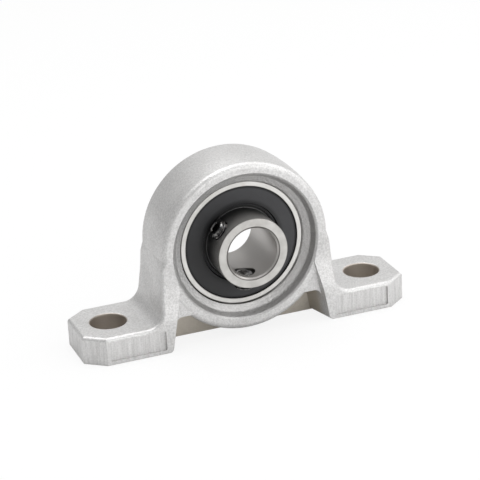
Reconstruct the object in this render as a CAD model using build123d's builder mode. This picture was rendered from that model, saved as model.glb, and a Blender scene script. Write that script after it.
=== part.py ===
from build123d import *

from math import cos, radians, sin, sqrt, tan
import os

# Pillow block bearing for a 10 mm shaft: die-cast housing with a mini insert bearing.
#
# Millimetres, +Z up. X runs along the two feet and Y along the shaft, with the front, where
# the inner ring is long, at -Y. The origin lies on the mounting face, midway between the
# bolt holes and below the centre of the bearing.

# --- Housing: interface sizes -------------------------------------------------------------
shaft_height = 18.0  # mounting face to shaft axis
bolt_to_leg = 9.4  # bolt centre to the outside of the leg at the shaft axis
bolt_to_end = 6.7  # bolt centre to the end of the foot
bolt_hole_diameter = 7.0
foot_depth = 15.6  # along the shaft
foot_thickness = 5.5
foot_corner_x = 3.8  # cut corners of the feet, seen from above
foot_corner_y = 3.0

# --- Housing: arch and legs ---------------------------------------------------------------
arch_wall = 4.1  # round the insert
arch_depth = 13.0  # along the shaft
arch_crown = 0.4  # how far the outside of the arch falls off from its middle to its edges
arch_round = 1.1
boss_inset = 0.05  # the boss under the insert is this much smaller than the arch
boss_setback = 0.05  # and this much shallower on each side
boss_crown = 0.1
boss_buried = 20.0  # below the horizontal, degrees; from there up the legs hold the boss
plate_setback = 0.12  # from the face of the arch back to the plate between boss and legs
leg_flare_radius = 3.0  # from leg to top of foot
leg_round = 0.7  # also along the top of the feet
leg_draw_in_start = 1.0  # height above the feet at which the legs start to narrow
leg_draw_in_end = 5.0  # depth below the shaft axis at which they are as deep as the arch
leg_spread = 2.6  # growth of the leg section from the shaft axis down to the feet, along X
leg_spread_depth = 0.5  # the same along Y, beyond the depth of the feet
leg_foot_crown = 0.2
leg_blend_radius = 9.0
leg_outer_slope = 4.8  # lean of the outer sides of the legs, degrees
leg_inner_base = 16.3  # half the clear width between the legs at the mounting face
leg_inner_slope = 10.2  # lean of the inner sides of the legs, degrees
leg_corner_round = 0.8  # inner corners of the legs on the mounting face

# --- Housing: pockets under the boss, recess and seat -------------------------------------
pocket_height = 6.6  # in the plane of the front of the feet
pocket_round = 1.8
pocket_draft = 14.0  # degrees
web_thickness = 2.8  # rib between front and rear pocket
rim_width = 2.5  # from the mouth of the recess to the outside of the arch
recess_floor_width = 0.85  # from the insert to the foot of the recess wall
recess_wall_depth = 1.55
recess_round = 0.6
rim_chamfer = 0.35  # at the mouth of the recess
rim_round = 0.3
seat_edge_chamfer = 0.25
seat_clearance = 0.02  # between the insert and its spherical seat
slot_clearance = 0.1  # loading slots at the rear
panel_depth = 0.45  # shallow panel in the front and rear face of each foot
panel_border = 0.7
panel_top_border = 0.85
panel_inset = 0.4  # inner end of the panel, beyond the radius of the arch
panel_round = 0.3
hole_edge_round = 0.3

# --- Insert bearing -----------------------------------------------------------------------
bore_diameter = 10.0
insert_diameter = 26.0  # spherical outside of the outer ring
outer_ring_width = 8.0
inner_ring_front = 10.0  # reach of the inner ring from the centre to the front
inner_ring_rear = 4.0
inner_shoulder_diameter = 14.8
extension_diameter = 14.0
extension_start = 3.5  # from the middle of the bearing, in front of the seal lip
outer_shoulder_diameter = 21.3
outer_ring_chamfer = 0.08
bore_chamfer = 0.4
extension_chamfer = 0.12

ball_diameter = 4.762
ball_count = 7
pitch_diameter = 18.0
race_play = 0.01  # between a ball and the bottom of its groove
inner_groove_ratio = 0.515  # groove radius over ball diameter
outer_groove_ratio = 0.525

cage_width = 1.9  # radially
cage_sheet = 0.3
cage_play = 0.06
rivet_diameter = 0.7
rivet_head_diameter = 1.2
rivet_head_height = 0.25

seal_mouth_radius = 11.45  # lip of the outer ring that holds the seal
seal_groove_radius = 11.75
seal_groove_floor = 2.5  # from the middle of the bearing
seal_groove_end = 3.2
seal_lip_play = 0.04
seal_face = 3.8  # from the middle of the bearing
seal_rubber = 0.45
seal_core_sheet = 0.25
seal_core_inner = 8.1
seal_core_outer = 11.2
seal_step_radius = 7.95  # the face steps back towards the lip here
seal_step_depth = 0.4
seal_edge_chamfer = 0.2
seal_fit = 0.02
seal_flange_gap = 0.1  # rubber under the flange of the steel disc

# --- Set screws ---------------------------------------------------------------------------
screw_diameter = 4.0
screw_length = 3.0
screw_thread_play = 0.03
screw_from_centre = 6.5  # in front of the middle of the bearing
upper_screw_angle = 139.5  # degrees, from +X towards +Z
lower_screw_angle = 262.5
screw_tip_radius = 5.1  # backed out so far that the shaft passes
screw_socket = 2.0  # across flats
screw_socket_depth = 1.4
screw_cup_diameter = 2.5
screw_cup_depth = 0.5
screw_cup_slope = 50.0  # from the screw's axis, degrees
screw_chamfer = 0.35

# --- Derived ------------------------------------------------------------------------------
insert_radius = insert_diameter / 2
arch_radius = insert_radius + arch_wall
bolt_distance = 2 * (arch_radius + bolt_to_leg)  # 53
foot_span = bolt_distance + 2 * bolt_to_end  # 66.4, over both feet
half_arch = arch_depth / 2
half_foot = foot_depth / 2
rim_radius = arch_radius - rim_width
recess_wall_foot = insert_radius + recess_floor_width
half_ring = outer_ring_width / 2
ball_radius = ball_diameter / 2
pitch_radius = pitch_diameter / 2
seat_radius = insert_radius + seat_clearance
screw_hole_radius = screw_diameter / 2
screw_radius = screw_hole_radius - screw_thread_play
screw_angles = {"set_screw_upper": upper_screw_angle, "set_screw_lower": lower_screw_angle}
ring_outline = Plane.XY.offset(shaft_height)  # local x is the radius, local y lies along the shaft
shaft_axis = Axis((0, 0, shaft_height), (0, 1, 0))
overlap = 1.0  # how far sketches run past the faces they cut or join
beyond = 4 * foot_span  # reaches past the whole part
tolerance = 0.01  # for picking edges by their place

os.makedirs("parts", exist_ok=True)


def save(part, name):
    """Label a finished piece and write it."""
    part.label = name
    export_step(part, f"parts/{name}.step")


def crowned_section(plane, inner, outer, half, crown, edge_round):
    """Section of the arch or of a leg on `plane`: flat at `inner`, crowned at `outer`."""
    with BuildSketch(plane) as section:
        with BuildLine():
            Polyline((outer - crown, -half), (inner, -half), (inner, half), (outer - crown, half))
            ThreePointArc((outer - crown, half), (outer, 0), (outer - crown, -half))
        make_face()
        fillet(section.vertices().group_by(Axis.X)[-1], edge_round)
    return section.sketch


def mirrored_outline(points):
    """Close a chain of points with its mirror image on the other side of the middle."""
    return points + [(-x, y) for x, y in reversed(points)]


# --- Housing ------------------------------------------------------------------------------
draw_in_top = shaft_height - leg_draw_in_end
draw_in_bottom = foot_thickness + leg_draw_in_start
leg_outer_foot = arch_radius + (shaft_height - foot_thickness) * tan(radians(leg_outer_slope))


def inner_side(height):
    """Distance of the inner side of a leg from the middle at a height above the feet."""
    return leg_inner_base - height * tan(radians(leg_inner_slope))


def between_legs(top):
    """Outline of the space between the legs up to `top`, from well below the mounting face."""
    return mirrored_outline([(inner_side(-foot_thickness), -foot_thickness), (inner_side(top), top)])


with BuildPart() as leg_envelope:
    # What the legs may fill: the section of the arch at the height of the shaft, growing
    # to the full depth of the feet below.
    at_shaft = crowned_section(
        Plane.XY.offset(shaft_height), 0, arch_radius, half_arch, arch_crown, arch_round
    )
    below = crowned_section(
        Plane.XY.offset(draw_in_bottom),
        0,
        arch_radius + leg_spread,
        half_foot + leg_spread_depth,
        leg_foot_crown,
        leg_round,
    )
    loft(sections=[at_shaft, below])
    mirror(about=Plane.YZ)
    with BuildSketch(Plane.XY):
        Rectangle(beyond, beyond)
    extrude(amount=draw_in_bottom)

with BuildPart() as housing:
    # Front outline of feet, flares and legs, solid between the legs.
    front_points = [
        (foot_span / 2, 0),
        (foot_span / 2, foot_thickness),
        (leg_outer_foot, foot_thickness),
        (arch_radius, shaft_height),
    ]
    with BuildSketch(Plane.XZ) as front_outline:
        Polygon(*mirrored_outline(front_points), align=None)
        inner_corners = [
            corner
            for corner in front_outline.vertices()
            if abs(abs(corner.X) - leg_outer_foot) < tolerance
        ]
        fillet(inner_corners, leg_flare_radius)
    extrude(amount=half_foot, both=True)

    # Seen from the side, the legs are as deep as the feet below and as the arch above.
    side_points = [
        (half_foot, 0),
        (half_foot, draw_in_bottom),
        (half_arch, draw_in_top),
        (half_arch, shaft_height + overlap),
    ]
    with BuildSketch(Plane.YZ) as side_outline:
        Polygon(*mirrored_outline(side_points), align=None)
        bends = side_outline.vertices().filter_by_position(
            Axis.Y, draw_in_bottom - tolerance, draw_in_top + tolerance
        )
        fillet(bends, leg_blend_radius)
    extrude(amount=foot_span, both=True, mode=Mode.INTERSECT)

    # Cut corners of the feet.
    foot_points = [
        (foot_span / 2, -half_foot + foot_corner_y),
        (foot_span / 2, half_foot - foot_corner_y),
        (foot_span / 2 - foot_corner_x, half_foot),
    ]
    with BuildSketch(Plane.XY):
        with BuildLine():
            Polyline(
                *foot_points,
                *[(-x, y) for x, y in reversed(foot_points)],
                (-foot_span / 2 + foot_corner_x, -half_foot),
                (foot_span / 2 - foot_corner_x, -half_foot),
                close=True,
            )
        make_face()
    extrude(amount=2 * shaft_height, mode=Mode.INTERSECT)

    # One rounding runs along the top of the feet, up the flares and along the legs.
    upper = housing.edges().filter_by(
        lambda edge: edge.bounding_box().min.Z > foot_thickness - tolerance
        and edge.bounding_box().min.Z < shaft_height - tolerance
    )
    along_x = upper.filter_by(Axis.X)
    along_y = upper.filter_by(Axis.Y)
    skin = [edge for edge in upper if edge not in along_x and edge not in along_y]
    skin += along_x.filter_by_position(Axis.Z, 0, foot_thickness + tolerance)
    skin += along_y.filter_by(lambda edge: abs(edge.center().X) > foot_span / 2 - tolerance)
    fillet(skin, leg_round)
    add(leg_envelope.part, mode=Mode.INTERSECT)

    for side in (-1, 1):
        face_plane = Plane((0, side * half_foot, 0), x_dir=(side, 0, 0), z_dir=(0, -side, 0))
        # Between the legs the front stands back to the depth of the arch.
        with BuildSketch(face_plane):
            Polygon(*between_legs(draw_in_top + overlap), align=None)
        extrude(
            amount=half_foot - half_arch + plate_setback, taper=pocket_draft, mode=Mode.SUBTRACT
        )
        # Pocket under the boss, down to the web.
        with BuildSketch(face_plane) as pocket:
            Polygon(*between_legs(pocket_height), align=None)
            fillet(pocket.vertices().group_by(Axis.Y)[-1], pocket_round)
        extrude(amount=half_foot - web_thickness / 2, taper=pocket_draft, mode=Mode.SUBTRACT)

    leg_corners = housing.edges().filter_by_position(Axis.Z, -tolerance, tolerance).filter_by(
        lambda edge: abs(edge.center().X) < leg_inner_base
        and abs(edge.center().Y) > web_thickness / 2 + tolerance
    )
    fillet(leg_corners, leg_corner_round)

    # Crowned arch above the shaft axis.
    arch_section = crowned_section(
        ring_outline, 0, arch_radius, half_arch, arch_crown, arch_round
    )
    revolve(profiles=arch_section, axis=shaft_axis.reverse(), revolution_arc=180)

    # Rounded boss between the legs, trimmed by the mounting face.
    start = radians(boss_buried)
    boss_plane = Plane(
        (0, 0, shaft_height), x_dir=(cos(start), 0, -sin(start)), z_dir=(sin(start), 0, cos(start))
    )
    boss_section = crowned_section(
        boss_plane, 0, arch_radius - boss_inset, half_arch - boss_setback, boss_crown, arch_round
    )
    revolve(profiles=boss_section, axis=shaft_axis, revolution_arc=180 - 2 * boss_buried)
    split(bisect_by=Plane.XY, keep=Keep.TOP)

    # Dished recess on both sides and the spherical seat between them.
    seat_mouth = sqrt(seat_radius**2 - half_ring**2)
    wall_lean = (rim_radius - recess_wall_foot) / recess_wall_depth
    recess_points = [
        (0, half_arch + overlap),
        (rim_radius + rim_chamfer + overlap, half_arch + overlap),
        (rim_radius - wall_lean * rim_chamfer, half_arch - rim_chamfer),
        (recess_wall_foot, half_arch - recess_wall_depth),
        (seat_mouth + seat_edge_chamfer, half_ring + seat_edge_chamfer),
        (seat_mouth, half_ring),
    ]
    with BuildSketch(ring_outline) as recess:
        with BuildLine():
            Polyline(*recess_points)
            ThreePointArc((seat_mouth, half_ring), (seat_radius, 0), (seat_mouth, -half_ring))
            Polyline(*[(r, -y) for r, y in reversed(recess_points)])
            Line((0, -half_arch - overlap), (0, half_arch + overlap))
        make_face()
        corners = recess.vertices().filter_by_position(
            Axis.X, recess_wall_foot - tolerance, recess_wall_foot + tolerance
        )
        fillet(corners, recess_round)
        rim_corner = rim_radius - wall_lean * rim_chamfer
        rims = recess.vertices().filter_by_position(
            Axis.X, rim_corner - tolerance, rim_corner + tolerance
        )
        fillet(rims, rim_round)
    revolve(axis=shaft_axis, mode=Mode.SUBTRACT)

    # Loading slots at the rear: the insert goes in crosswise and is then turned into its seat.
    with BuildSketch(Plane((0, 0, shaft_height), x_dir=(1, 0, 0), z_dir=(0, 1, 0))):
        Circle(seat_radius + slot_clearance)
        Rectangle(beyond, outer_ring_width + 2 * slot_clearance, mode=Mode.INTERSECT)
    extrude(amount=half_arch, mode=Mode.SUBTRACT)

    # Bolt holes.
    with Locations(*[(side * bolt_distance / 2, 0, foot_thickness) for side in (-1, 1)]):
        Hole(bolt_hole_diameter / 2, depth=foot_thickness)
    hole_edges = housing.edges().filter_by(GeomType.CIRCLE).filter_by(
        lambda edge: abs(edge.radius - bolt_hole_diameter / 2) < tolerance
    )
    fillet(hole_edges.group_by(Axis.Z)[-1], hole_edge_round)

    # Shallow bare panel in the front and rear face of each foot.
    panel_start = arch_radius + panel_inset
    panel_end = foot_span / 2 - foot_corner_x - panel_border
    panel_top = foot_thickness - panel_top_border
    panel_bottom = panel_border
    for side in (-1, 1):
        with BuildSketch(Plane.XZ.offset(-side * half_foot)):
            with Locations(
                *[
                    (end * (panel_start + panel_end) / 2, (panel_top + panel_bottom) / 2)
                    for end in (-1, 1)
                ]
            ):
                RectangleRounded(panel_end - panel_start, panel_top - panel_bottom, panel_round)
        extrude(amount=side * panel_depth, mode=Mode.SUBTRACT)

save(housing.part, "housing")


# --- Rings of the insert ------------------------------------------------------------------
def groove_half_width(centre, radius, shoulder):
    """Half the width of a ball groove where it runs out in the shoulder."""
    return sqrt(radius**2 - (shoulder - centre) ** 2)


outer_shoulder = outer_shoulder_diameter / 2
outer_groove = outer_groove_ratio * ball_diameter
outer_race = pitch_radius + ball_radius + race_play  # bottom of the groove
outer_groove_half = groove_half_width(outer_race - outer_groove, outer_groove, outer_shoulder)
chamfer_face = sqrt(insert_radius**2 - half_ring**2) - outer_ring_chamfer
chamfer_depth = half_ring - outer_ring_chamfer
chamfer_radius = sqrt(insert_radius**2 - chamfer_depth**2)

with BuildPart() as outer_ring:
    inside_points = [
        (chamfer_radius, chamfer_depth),
        (chamfer_face, half_ring),
        (seal_mouth_radius, half_ring),
        (seal_mouth_radius, seal_groove_end),
        (seal_groove_radius, seal_groove_end - (seal_groove_radius - seal_mouth_radius) / 2),
        (seal_groove_radius, seal_groove_floor),
        (outer_shoulder, seal_groove_floor),
        (outer_shoulder, outer_groove_half),
    ]
    with BuildSketch(ring_outline):
        with BuildLine():
            Polyline(*inside_points)
            ThreePointArc(inside_points[-1], (outer_race, 0), (outer_shoulder, -outer_groove_half))
            Polyline(*[(r, -y) for r, y in reversed(inside_points)])
            ThreePointArc(
                (chamfer_radius, -chamfer_depth), (insert_radius, 0), (chamfer_radius, chamfer_depth)
            )
        make_face()
    revolve(axis=shaft_axis)
save(outer_ring.part, "outer_ring")

bore_radius = bore_diameter / 2
inner_shoulder = inner_shoulder_diameter / 2
extension_radius = extension_diameter / 2
inner_groove = inner_groove_ratio * ball_diameter
inner_race = pitch_radius - ball_radius - race_play
inner_groove_half = groove_half_width(inner_race + inner_groove, inner_groove, inner_shoulder)


def screw_plane(angle):
    """Plane across a set screw, on the shaft axis, looking outwards along the screw."""
    direction = (cos(radians(angle)), 0, sin(radians(angle)))
    return Plane((0, -screw_from_centre, shaft_height), x_dir=(0, 1, 0), z_dir=direction)


with BuildPart() as inner_ring:
    with BuildSketch(ring_outline):
        with BuildLine():
            Polyline(
                (inner_shoulder, -inner_groove_half),
                (inner_shoulder, -extension_start + extension_chamfer),
                (extension_radius, -extension_start),
                (extension_radius, -inner_ring_front + extension_chamfer),
                (extension_radius - extension_chamfer, -inner_ring_front),
                (bore_radius + bore_chamfer, -inner_ring_front),
                (bore_radius, -inner_ring_front + bore_chamfer),
                (bore_radius, inner_ring_rear - extension_chamfer),
                (bore_radius + extension_chamfer, inner_ring_rear),
                (inner_shoulder - extension_chamfer, inner_ring_rear),
                (inner_shoulder, inner_ring_rear - extension_chamfer),
                (inner_shoulder, inner_groove_half),
            )
            ThreePointArc(
                (inner_shoulder, inner_groove_half),
                (inner_race, 0),
                (inner_shoulder, -inner_groove_half),
            )
        make_face()
    revolve(axis=shaft_axis)
    for angle in screw_angles.values():
        with BuildSketch(screw_plane(angle)):
            Circle(screw_hole_radius)
        extrude(amount=2 * extension_radius, mode=Mode.SUBTRACT)
save(inner_ring.part, "inner_ring")

# --- Balls and cage -----------------------------------------------------------------------
ball_step = 360 / ball_count
bearing_plane = Plane((0, 0, shaft_height), x_dir=(1, 0, 0), z_dir=(0, -1, 0))  # local z to the front

for number in range(ball_count):
    turn = radians(number * ball_step)
    with BuildPart() as ball:
        with Locations((pitch_radius * cos(turn), 0, shaft_height + pitch_radius * sin(turn))):
            Sphere(ball_radius)
    save(ball.part, f"ball_{number + 1}")

for name, front in (("cage_front", 1), ("cage_rear", -1)):
    half_plane = Plane((0, 0, shaft_height), x_dir=(1, 0, 0), z_dir=(0, -front, 0))
    with BuildPart(half_plane) as cage:
        with BuildSketch(half_plane):
            Circle(pitch_radius + cage_width / 2)
            Circle(pitch_radius - cage_width / 2, mode=Mode.SUBTRACT)
        extrude(amount=cage_sheet)
        with PolarLocations(pitch_radius, ball_count):
            Sphere(ball_radius + cage_play + cage_sheet)
        with BuildSketch(half_plane):
            Circle(pitch_radius + cage_width / 2)
            Circle(pitch_radius - cage_width / 2, mode=Mode.SUBTRACT)
        extrude(amount=ball_diameter, mode=Mode.INTERSECT)
        with PolarLocations(pitch_radius, ball_count):
            Sphere(ball_radius + cage_play, mode=Mode.SUBTRACT)
        with PolarLocations(pitch_radius, ball_count, start_angle=ball_step / 2):
            Cylinder(rivet_diameter / 2, ball_diameter, mode=Mode.SUBTRACT)
    save(cage.part, name)

with BuildPart(bearing_plane) as cage_rivets:
    with PolarLocations(pitch_radius, ball_count, start_angle=ball_step / 2):
        Cylinder(rivet_diameter / 2, 2 * cage_sheet)
        for end in (-1, 1):
            with Locations((0, 0, end * (cage_sheet + rivet_head_height / 2))):
                Cylinder(rivet_head_diameter / 2, rivet_head_height)
save(cage_rivets.part, "cage_rivets")

# --- Seals --------------------------------------------------------------------------------
core_face = seal_face - seal_rubber  # outer side of the steel disc
core_back = core_face - seal_core_sheet
lip_radius = inner_shoulder + seal_lip_play
bead_radius = seal_groove_radius - seal_fit
mouth_fit = seal_mouth_radius - seal_fit
flange_end = seal_groove_floor + seal_flange_gap
step_face = seal_face - seal_step_depth

rubber_points = [
    (seal_core_outer, seal_groove_floor + seal_fit),
    (bead_radius, seal_groove_floor + seal_fit),
    (bead_radius, seal_groove_end - (seal_groove_radius - seal_mouth_radius) / 2 - seal_fit),
    (mouth_fit, seal_groove_end),
    (mouth_fit, seal_face - seal_edge_chamfer),
    (mouth_fit - seal_edge_chamfer, seal_face),
    (seal_step_radius, seal_face),
    (seal_step_radius - seal_step_depth / 2, step_face),
    (lip_radius, step_face),
    (lip_radius, step_face - seal_core_sheet),
    (seal_core_inner - seal_core_sheet, core_back - seal_core_sheet / 2),
    (seal_core_inner, core_back - seal_core_sheet / 2),
    (seal_core_inner, core_face),
    (seal_core_outer, core_face),
]
core_points = [
    (seal_core_inner, core_back),
    (seal_core_inner, core_face),
    (seal_core_outer, core_face),
    (seal_core_outer, flange_end),
    (seal_core_outer - seal_core_sheet, flange_end),
    (seal_core_outer - seal_core_sheet, core_back),
]
for name, side in (("front", -1), ("rear", 1)):
    for kind, points in (("seal", rubber_points), ("seal_core", core_points)):
        with BuildPart() as seal_piece:
            with BuildSketch(ring_outline):
                with BuildLine():
                    Polyline(*[(r, side * y) for r, y in points], close=True)
                make_face()
            revolve(axis=shaft_axis)
        save(seal_piece.part, f"{name}_{kind}")

# --- Set screws ---------------------------------------------------------------------------
for name, angle in screw_angles.items():
    tip_plane = screw_plane(angle).offset(screw_tip_radius)
    end_plane = tip_plane.offset(screw_length)
    with BuildPart() as set_screw:
        with BuildSketch(tip_plane):
            Circle(screw_radius)
        extrude(amount=screw_length)
        chamfer(set_screw.edges().filter_by(GeomType.CIRCLE), screw_chamfer)
        with BuildSketch(tip_plane):
            Circle(screw_cup_diameter / 2)
        extrude(amount=screw_cup_depth, taper=screw_cup_slope, mode=Mode.SUBTRACT)
        with BuildSketch(end_plane):
            RegularPolygon(screw_socket / 2, 6, major_radius=False)
        extrude(amount=-screw_socket_depth, mode=Mode.SUBTRACT)
    save(set_screw.part, name)
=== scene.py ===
import math

import bmesh
import bpy
from mathutils import Matrix, Vector


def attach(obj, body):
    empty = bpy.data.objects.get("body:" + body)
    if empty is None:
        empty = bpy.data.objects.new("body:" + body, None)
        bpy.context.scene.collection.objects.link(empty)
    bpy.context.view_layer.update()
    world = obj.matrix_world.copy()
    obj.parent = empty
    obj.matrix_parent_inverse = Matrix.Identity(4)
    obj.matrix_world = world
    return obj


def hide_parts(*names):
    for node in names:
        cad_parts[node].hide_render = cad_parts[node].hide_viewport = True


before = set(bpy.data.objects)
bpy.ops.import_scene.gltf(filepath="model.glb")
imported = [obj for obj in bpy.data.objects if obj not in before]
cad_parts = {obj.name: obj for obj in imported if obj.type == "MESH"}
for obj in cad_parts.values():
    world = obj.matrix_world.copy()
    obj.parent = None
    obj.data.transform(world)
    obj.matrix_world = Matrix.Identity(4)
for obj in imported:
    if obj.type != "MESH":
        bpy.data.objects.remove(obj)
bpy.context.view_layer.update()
scene = bpy.context.scene
scene.view_settings.view_transform = "Standard"


# --- Housing ------------------------------------------------------------------------------
# One zinc-alloy die casting: arch, legs, feet, the recess with its spherical seat. The skin
# keeps the fine pebbled grain of the blasted mould; only the mounting face and the bolt
# holes are cut after casting, and the faces of the feet show where the mould parts drew.
class Wire:
    """A socket in a material. Arithmetic on it adds the Math nodes that work it out."""

    def __init__(self, tree, socket=None):
        self.tree = tree
        self.socket = socket

    def node(self, kind, settings=None, inputs=None, output=0):
        """Add a node, set it up, join its inputs, and hand back one of its outputs."""
        made = self.tree.nodes.new("ShaderNode" + kind)
        for name, value in (settings or {}).items():
            setattr(made, name, value)
        for name, value in (inputs or {}).items():
            if isinstance(value, Wire):
                self.tree.links.new(value.socket, made.inputs[name])
            else:
                made.inputs[name].default_value = value
        return Wire(self.tree, made.outputs[output]) if made.outputs else None

    def math(self, operation, first, second=0.0):
        return self.node("Math", {"operation": operation}, {0: first, 1: second})

    def __add__(self, other):
        return self.math("ADD", self, other)

    def __radd__(self, other):
        return self.math("ADD", other, self)

    def __sub__(self, other):
        return self.math("SUBTRACT", self, other)

    def __rsub__(self, other):
        return self.math("SUBTRACT", other, self)

    def __mul__(self, other):
        return self.math("MULTIPLY", self, other)

    def __rmul__(self, other):
        return self.math("MULTIPLY", other, self)

    def __pow__(self, other):
        return self.math("POWER", self, other)

    def clamped(self, low, high, new_low=0.0, new_high=1.0):
        """Map low..high to new_low..new_high, held at the ends."""
        return self.node(
            "MapRange", {}, {"Value": self, "From Min": low, "From Max": high,
                             "To Min": new_low, "To Max": new_high},
        )

    def larger(self, other):
        return self.math("MAXIMUM", self, other)

    def noise(self, vector, scale, detail, roughness=0.5):
        return self.node(
            "TexNoise", {},
            {"Vector": vector, "Scale": scale, "Detail": detail, "Roughness": roughness},
        )

    def stretched(self, vector, along_x, along_y, along_z, detail):
        """Noise that is drawn out along the axes with the small scales."""
        scales = (along_x, along_y, along_z)
        return self.noise(self.node("Mapping", {}, {"Vector": vector, "Scale": scales}), 1.0, detail)

    def tint(self, first, second):
        """Blend two colours by this value."""
        return self.node("Mix", {"data_type": "RGBA"}, {0: self, 6: first, 7: second}, output=2)


def new_finish(name):
    """An empty material and the wire that its nodes are made from."""
    material = bpy.data.materials.new(name)
    material.use_nodes = True
    material.node_tree.nodes.clear()
    return material, Wire(material.node_tree)


def close_finish(wire, **sockets):
    """Finish a material with one shader; socket names are written with underscores."""
    values = {name.replace("_", " "): value for name, value in sockets.items()}
    shader = wire.node("BsdfPrincipled", {}, values)
    wire.node("OutputMaterial", {}, {"Surface": shader})


def dress(node, material):
    """Give a node of the frame its material."""
    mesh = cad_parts[node].data
    mesh.materials.clear()
    mesh.materials.append(material)


def places(wire):
    """The point in the part's frame: whole, x, y, z, height over the shaft, distance from it."""
    point = wire.node("TexCoord", output=3)
    x, y, z = (wire.node("SeparateXYZ", {}, {0: point}, output=axis) for axis in range(3))
    above_axis = z - shaft_height
    from_axis = (x * x + above_axis * above_axis) ** 0.5
    return point, x, y, z, above_axis, from_axis


shaft_height = 0.018
bolt_reach = 0.0265
bolt_hole = 0.0035
foot_top = 0.0048
foot_start = 0.0176
leg_inside = 0.0163
pocket_depth = 0.0045
pocket_top = 0.0066
boss_radius = 0.0160
rim_radius = 0.0146
rim_front = 0.0066
seat_mouth = 0.01254
zinc_light = (0.715, 0.71, 0.705, 1)
zinc_shade = (0.485, 0.48, 0.475, 1)
zinc_painted_shade = (0.30, 0.29, 0.28, 1)
zinc_cut = (0.60, 0.58, 0.55, 1)
zinc_hole_and_shade = (0.42, 0.375, 0.33, 1)
zinc_pocket_shade = (0.54, 0.505, 0.45, 1)
seat_gap_painted_shadow = (0.05, 0.045, 0.04, 1)

cast_zinc, wire = new_finish("cast zinc")
point, x, y, z, above_axis, from_axis = places(wire)
side = wire.math("ABSOLUTE", x)
depth = wire.math("ABSOLUTE", y)
grain = wire.noise(point, 3000.0, 3.0, 0.65)
pebble = wire.node("TexVoronoi", {}, {"Vector": point, "Scale": 2100.0, "Randomness": 1.0})
cloud = wire.noise(point, 160.0, 4.0)
streaks = wire.stretched(point, 2600.0, 2600.0, 160.0, 3.0)
mill_marks = wire.stretched(point, 9000.0, 300.0, 300.0, 2.0)
from_bolt = ((side - bolt_reach) ** 2.0 + y * y) ** 0.5
hole_wall = from_bolt.clamped(bolt_hole + 0.0003, bolt_hole + 0.00005)
mounting_face = z.clamped(0.00006, 0.00002)
machined = hole_wall.larger(mounting_face)
drawn = z.clamped(foot_top + 0.0003, foot_top - 0.0001) * side.clamped(foot_start - 0.0004, foot_start)
pocket = depth.clamped(pocket_depth + 0.0017, pocket_depth) * z.clamped(pocket_top + 0.0012, pocket_top)
pocket = pocket * side.clamped(leg_inside, leg_inside - 0.0006)
pocket = pocket * from_axis.clamped(boss_radius, boss_radius + 0.0008)
dish = from_axis.clamped(rim_radius + 0.0003, rim_radius - 0.0003)
dish = dish * depth.clamped(rim_front, rim_front - 0.0003)
# Painted shadow: a dark line at the mouth of the seat, in the gap between ring and housing, strongest
# towards the lower left.
seat_shadow_reach = (cloud - x * 16.0 - above_axis * 22.0).clamped(0.42, 0.75, 0.25, 1.0)
seat_gap_shadow = from_axis.clamped(seat_mouth + 0.00008, seat_mouth) * seat_shadow_reach
speckle = grain.clamped(0.34, 0.66) * 0.7 + cloud.clamped(0.3, 0.7) * 0.3
# Painted shade: the recess is darkened towards the right and the bottom, where its wall lies in shade.
dish_painted_shade = dish * (x * 30.0 - above_axis * 12.0 + grain).clamped(0.2, 1.25) * 0.6
brushed = streaks.clamped(0.3, 0.7) * 0.6 + grain.clamped(0.34, 0.66) * 0.4
tone = drawn.tint(speckle, brushed)
skin = tone.tint(zinc_shade, zinc_light)
# Painted shade: the pocket under the boss is tinted a darker olive grey.
skin = pocket.tint(skin, zinc_pocket_shade)
skin = dish_painted_shade.tint(skin, zinc_painted_shade)
skin = seat_gap_shadow.tint(skin, seat_gap_painted_shadow)
# The bolt-hole walls get a darker brown: partly their own colour, partly painted shade of the deep holes.
colour = hole_wall.tint(mounting_face.tint(skin, zinc_cut), zinc_hole_and_shade)
coarse = grain * 0.7 + pebble * (0.35 + dish * 0.5)
relief = (1.0 - machined) * drawn.tint(coarse, streaks * 0.8 + grain * 0.3) + machined * mill_marks * 0.35
close_finish(
    wire,
    Base_Color=colour,
    Metallic=0.85,
    Roughness=speckle.clamped(0.0, 1.0, 0.58, 0.46),
    Normal=wire.node("Bump", {}, {"Strength": 0.8, "Distance": 0.00008, "Height": relief}),
)
dress("housing", cast_zinc)

# --- Outer ring ---------------------------------------------------------------------------
# Bearing steel, turned and ground. Its side faces keep very fine rings from the grinding
# wheel; the spherical outside rides in the seat of the housing.
ring_face = (0.01156, 0.01224)
extension_radius = 0.0070
bore_radius = 0.0050
long_face = -0.0100

ground_steel, wire = new_finish("ground steel")
point, _, y, _, _, from_axis = places(wire)
rings = wire.node(
    "TexNoise", {"noise_dimensions": "2D"},
    {"Vector": wire.node("CombineXYZ", {}, {"X": from_axis * 9000.0, "Y": y * 9000.0}),
     "Scale": 1.0, "Detail": 3.0},
)
stain = wire.noise(point, 400.0, 3.0)
# Painted shade: dark bands just outside the ground face of the outer ring, in the gaps towards the seal
# and the housing.
ring_edge_shade = from_axis.clamped(ring_face[1], ring_face[1] + 0.00006).larger(
    from_axis.clamped(ring_face[0], ring_face[0] - 0.00007))
inside = from_axis.clamped(0.0090, 0.0080)
# Painted shade: dark rings on the rounded edges of the inner ring's face, at the outside and at the bore
# chamfer.
face_edge_shade = from_axis.clamped(extension_radius - 0.00016, extension_radius - 0.00002).larger(
    from_axis.clamped(bore_radius + 0.00048, bore_radius + 0.00040))
bore = from_axis.clamped(bore_radius + 0.00032, bore_radius + 0.00020)
# Painted shade: the outside of the long end is darker steel, and nearly black towards the seal.
long_end = inside * from_axis.clamped(extension_radius - 0.00010, extension_radius - 0.00004)
long_end = long_end * y.clamped(long_face + 0.0001, long_face + 0.0004)
lip_side_shade = long_end * y.clamped(long_face + 0.0010, long_face + 0.0052)
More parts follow.
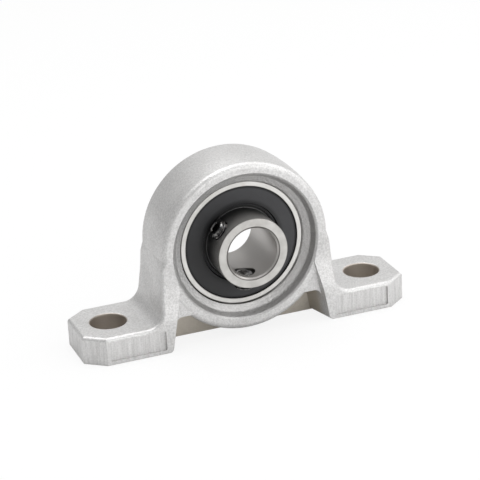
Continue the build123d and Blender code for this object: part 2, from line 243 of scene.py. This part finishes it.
# Near black on the shoulder under the seal lip: it stands in for the rubber lip that covers it, and is
# painted shade of the groove there.
under_lip_shade = inside * from_axis.clamped(extension_radius + 0.00002, extension_radius + 0.00006)
ground = stain.clamped(0.35, 0.65).tint((0.60, 0.59, 0.565, 1), (0.68, 0.67, 0.65, 1))
satin = stain.clamped(0.35, 0.65).tint((0.46, 0.45, 0.43, 1), (0.56, 0.55, 0.53, 1))
colour = inside.tint((ring_edge_shade * 0.6).tint(ground, (0.22, 0.21, 0.20, 1)), satin)
colour = (inside * face_edge_shade * 0.9).tint(colour, (0.10, 0.095, 0.09, 1))
colour = (inside * bore).tint(colour, (0.44, 0.425, 0.41, 1))
colour = long_end.tint(colour, (0.40, 0.39, 0.38, 1))
colour = lip_side_shade.tint(colour, (0.12, 0.12, 0.12, 1))
colour = under_lip_shade.tint(colour, (0.012, 0.012, 0.012, 1))
close_finish(
    wire,
    Base_Color=colour,
    Metallic=1.0,
    Roughness=rings.clamped(0.3, 0.7, 0.28, 0.40) + inside * 0.08,
    Normal=wire.node("Bump", {}, {"Strength": 0.35, "Distance": 0.00002, "Height": rings}),
)
dress("outer_ring", ground_steel)

# --- Balls --------------------------------------------------------------------------------
# Seven lapped steel balls run between the grooves of the two rings.
ball_steel, wire = new_finish("lapped steel")
close_finish(wire, Base_Color=(0.72, 0.72, 0.71, 1), Metallic=1.0, Roughness=0.06)
for number in range(1, 8):
    dress(f"ball_{number}", ball_steel)

# --- Cage ---------------------------------------------------------------------------------
# Two halves pressed from sheet steel hold the balls apart and are joined by small rivets.
sheet_steel, wire = new_finish("pressed sheet")
scuff = wire.noise(places(wire)[0], 1500.0, 3.0)
close_finish(
    wire,
    Base_Color=scuff.clamped(0.3, 0.7).tint((0.44, 0.43, 0.41, 1), (0.54, 0.53, 0.51, 1)),
    Metallic=1.0,
    Roughness=scuff.clamped(0.3, 0.7, 0.28, 0.42),
)
for node in ("cage_front", "cage_rear", "cage_rivets"):
    dress(node, sheet_steel)

# --- Inner ring ---------------------------------------------------------------------------
# Ground like the outer ring. The long end at the front is tapped for two set screws.
dress("inner_ring", ground_steel)

# --- Seals --------------------------------------------------------------------------------
# A sheet-steel disc with nitrile rubber moulded round it. The bead snaps into the outer
# ring and the lip runs on the inner ring; the rubber is charcoal and faintly dusty.
bead_radius = 0.0110
lip_radius = 0.0082

seal_rubber, wire = new_finish("seal rubber")
point, x, _, _, above_axis, from_axis = places(wire)
skin = wire.noise(point, 5200.0, 2.0)
bloom = wire.noise(point, 260.0, 4.0)
# Painted shade: near black in the groove along the bead and over the sunken lip.
groove_shade = from_axis.clamped(bead_radius - 0.0001, bead_radius).larger(
    from_axis.clamped(lip_radius + 0.0006, lip_radius))
# Painted light: the rubber is lighter towards the upper right, with dusty blotches from the noise.
dust_and_light = (x * 45.0 + above_axis * 30.0 + bloom * 0.9).clamped(-0.1, 0.75)
rubber_dust_and_light = dust_and_light.tint((0.012, 0.012, 0.013, 1), (0.036, 0.036, 0.039, 1))
close_finish(
    wire,
    Base_Color=groove_shade.tint(rubber_dust_and_light, (0.004, 0.004, 0.005, 1)),
    Metallic=0.0,
    Roughness=bloom.clamped(0.3, 0.7, 0.50, 0.62),
    Normal=wire.node("Bump", {}, {"Strength": 0.3, "Distance": 0.00002, "Height": skin}),
)
for node in ("front_seal", "rear_seal"):
    dress(node, seal_rubber)
for node in ("front_seal_core", "rear_seal_core"):
    dress(node, sheet_steel)

# --- Set screws ---------------------------------------------------------------------------
# M4 socket set screws with cup point, blackened. They stand backed out of the bore, so the
# shaft can pass, and clamp it when they are turned in.
screw_front = 0.0065
screw_tip = 0.0051
screw_length = 0.003
thread_radius = 0.00197
thread_pitch = 0.0007
thread_depth = 0.00036
end_chamfer = 0.00035
socket_width = 0.002
socket_depth = 0.0014
socket_mouth = 0.00122
drill_point = 0.0004
cup_radius = 0.00125
cup_depth = 0.0005
centre_dimple = 0.0002
turns_divided = 72
rows = 120

black_steel, wire = new_finish("black oxide")
oxide = wire.noise(places(wire)[0], 1800.0, 3.0)
close_finish(
    wire,
    Base_Color=oxide.clamped(0.45, 0.7).tint((0.07, 0.07, 0.072, 1), (0.30, 0.29, 0.28, 1)),
    Metallic=1.0,
    Roughness=oxide.clamped(0.3, 0.7, 0.12, 0.22),
)


def thread_profile(phase):
    """Depth of an M-thread from 0 at the crest to 1 at the root, over one pitch."""
    distance = abs((phase % 1.0) - 0.5) * 2
    return min(max((distance - 0.125) / 0.625, 0.0), 1.0)


def set_screw(name, degrees):
    """Thread, chamfered ends, hexagon socket and cup point, along the screw's own axis."""
    mesh = bmesh.new()
    angles = [2 * math.pi * step / turns_divided for step in range(turns_divided)]

    def ring(radius_at, depth):
        radii = [(radius_at(turn), turn) for turn in angles]
        return [mesh.verts.new((r * math.cos(turn), r * math.sin(turn), depth)) for r, turn in radii]

    def hexagon(turn):
        return socket_width / 2 / math.cos((turn + math.pi / 6) % (math.pi / 3) - math.pi / 6)

    loops = [ring(lambda turn: centre_dimple, cup_depth), ring(lambda turn: cup_radius, 0.0)]
    for row in range(rows + 1):
        depth = screw_length * row / rows
        limit = thread_radius - end_chamfer + min(depth, screw_length - depth)

        def outside(turn, depth=depth, limit=limit):
            phase = depth / thread_pitch - turn / (2 * math.pi)
            return min(thread_radius - thread_depth * thread_profile(phase), limit)

        loops.append(ring(outside, depth))
    loops.append(ring(lambda turn: socket_mouth, screw_length))
    loops.append(ring(hexagon, screw_length - (socket_mouth - socket_width / 2)))
    loops.append(ring(hexagon, screw_length - socket_depth))
    loops.append(ring(lambda turn: centre_dimple, screw_length - socket_depth - drill_point))
    for low, high in zip(loops, loops[1:]):
        for step in range(turns_divided):
            after = (step + 1) % turns_divided
            mesh.faces.new((low[step], low[after], high[after], high[step]))
    mesh.faces.new(loops[0][::-1])
    mesh.faces.new(loops[-1])
    bmesh.ops.recalc_face_normals(mesh, faces=mesh.faces)
    data = bpy.data.meshes.new(name)
    mesh.to_mesh(data)
    mesh.free()
    data.shade_smooth()
    data.set_sharp_from_angle(angle=math.radians(32))
    data.materials.append(black_steel)
    screw = bpy.data.objects.new(name, data)
    scene.collection.objects.link(screw)
    outward = Vector((math.cos(math.radians(degrees)), 0, math.sin(math.radians(degrees))))
    along = Vector((0, 1, 0))
    turn = Matrix((along, outward.cross(along), outward)).transposed().to_4x4()
    centre = Vector((0, -screw_front, shaft_height)) + outward * screw_tip
    data.transform(Matrix.Translation(centre) @ turn)
    return screw


for node, degrees in (("set_screw_upper", 139.5), ("set_screw_lower", 262.5)):
    screw = set_screw(node.replace("set_screw", "threaded_screw"), degrees)
    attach(screw, node)
    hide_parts(node)

# --- Floor and light ----------------------------------------------------------------------
# A plain white sweep. The camera sees it and the surroundings as white, while a dimmer room
# and three soft lamps light the casting; the floor still shows a soft shadow.
floor_half = 2.0
bpy.ops.mesh.primitive_plane_add(size=2 * floor_half, location=(0, 0, -0.00002))
floor = bpy.context.object
floor.name = "floor"
floor_white, wire = new_finish("floor white")
paint = wire.node("BsdfDiffuse", {}, {"Color": (0.75, 0.75, 0.75, 1)})
glow = wire.node("Emission", {}, {"Color": (1, 1, 1, 1), "Strength": 1.0})
camera_ray = wire.node("LightPath", output=0)
wire.node("OutputMaterial", {}, {"Surface": wire.node(
    "MixShader", {}, {0: camera_ray * 0.86, 1: paint, 2: glow})})
floor.data.materials.append(floor_white)

world = bpy.data.worlds.new("white surroundings")
scene.world = world
world.use_nodes = True
world.node_tree.nodes.clear()
wire = Wire(world.node_tree)
direction = wire.node("TexCoord", output=0)
across = wire.node("SeparateXYZ", {}, {0: direction}, output=0)
room = across.clamped(-0.2, 1.0).tint((0.56, 0.56, 0.56, 1), (1, 1, 1, 1))
seen = wire.node("Background", {}, {"Color": (1, 1, 1, 1), "Strength": 1.0})
lit = wire.node("Background", {}, {"Color": room, "Strength": 0.90})
wire.node("OutputWorld", {}, {"Surface": wire.node(
    "MixShader", {}, {0: wire.node("LightPath", output=0), 1: lit, 2: seen})})


def softbox(name, place, size, power):
    """A square lamp that faces the bearing."""
    lamp = bpy.data.lights.new(name, "AREA")
    lamp.shape = "SQUARE"
    lamp.size = size
    lamp.energy = power
    box = bpy.data.objects.new(name, lamp)
    scene.collection.objects.link(box)
    box.location = place
    aim = Vector((0, 0, 0.015)) - Vector(place)
    box.rotation_euler = aim.to_track_quat("-Z", "Y").to_euler()


softbox("key from the right", (0.40, -0.05, 0.32), 0.30, 0.70)
softbox("top", (-0.03, 0.06, 0.48), 0.40, 1.65)
softbox("fill from the front", (0.18, -0.46, 0.11), 0.45, 1.15)

# --- Camera -------------------------------------------------------------------------------
camera = bpy.data.objects.new("camera", bpy.data.cameras.new("camera"))
scene.collection.objects.link(camera)
scene.camera = camera
azimuth, elevation, roll = math.radians(-20.243), math.radians(22.417), math.radians(-2.871)
distance = 0.37577
back = Vector((math.sin(azimuth) * math.cos(elevation), -math.cos(azimuth) * math.cos(elevation),
               math.sin(elevation)))
right = Vector((math.cos(azimuth), math.sin(azimuth), 0))
up = back.cross(right)
turned_right = right * math.cos(roll) + up * math.sin(roll)
turned_up = up * math.cos(roll) - right * math.sin(roll)
centre = right * 0.001046 + up * 0.015761
camera.matrix_world = Matrix.Translation(centre + back * distance) @ Matrix(
    (turned_right, turned_up, back)).transposed().to_4x4()
camera.data.sensor_width = 36.0
camera.data.lens = 143.56
camera.data.clip_start = 0.01
camera.data.clip_end = 20.0
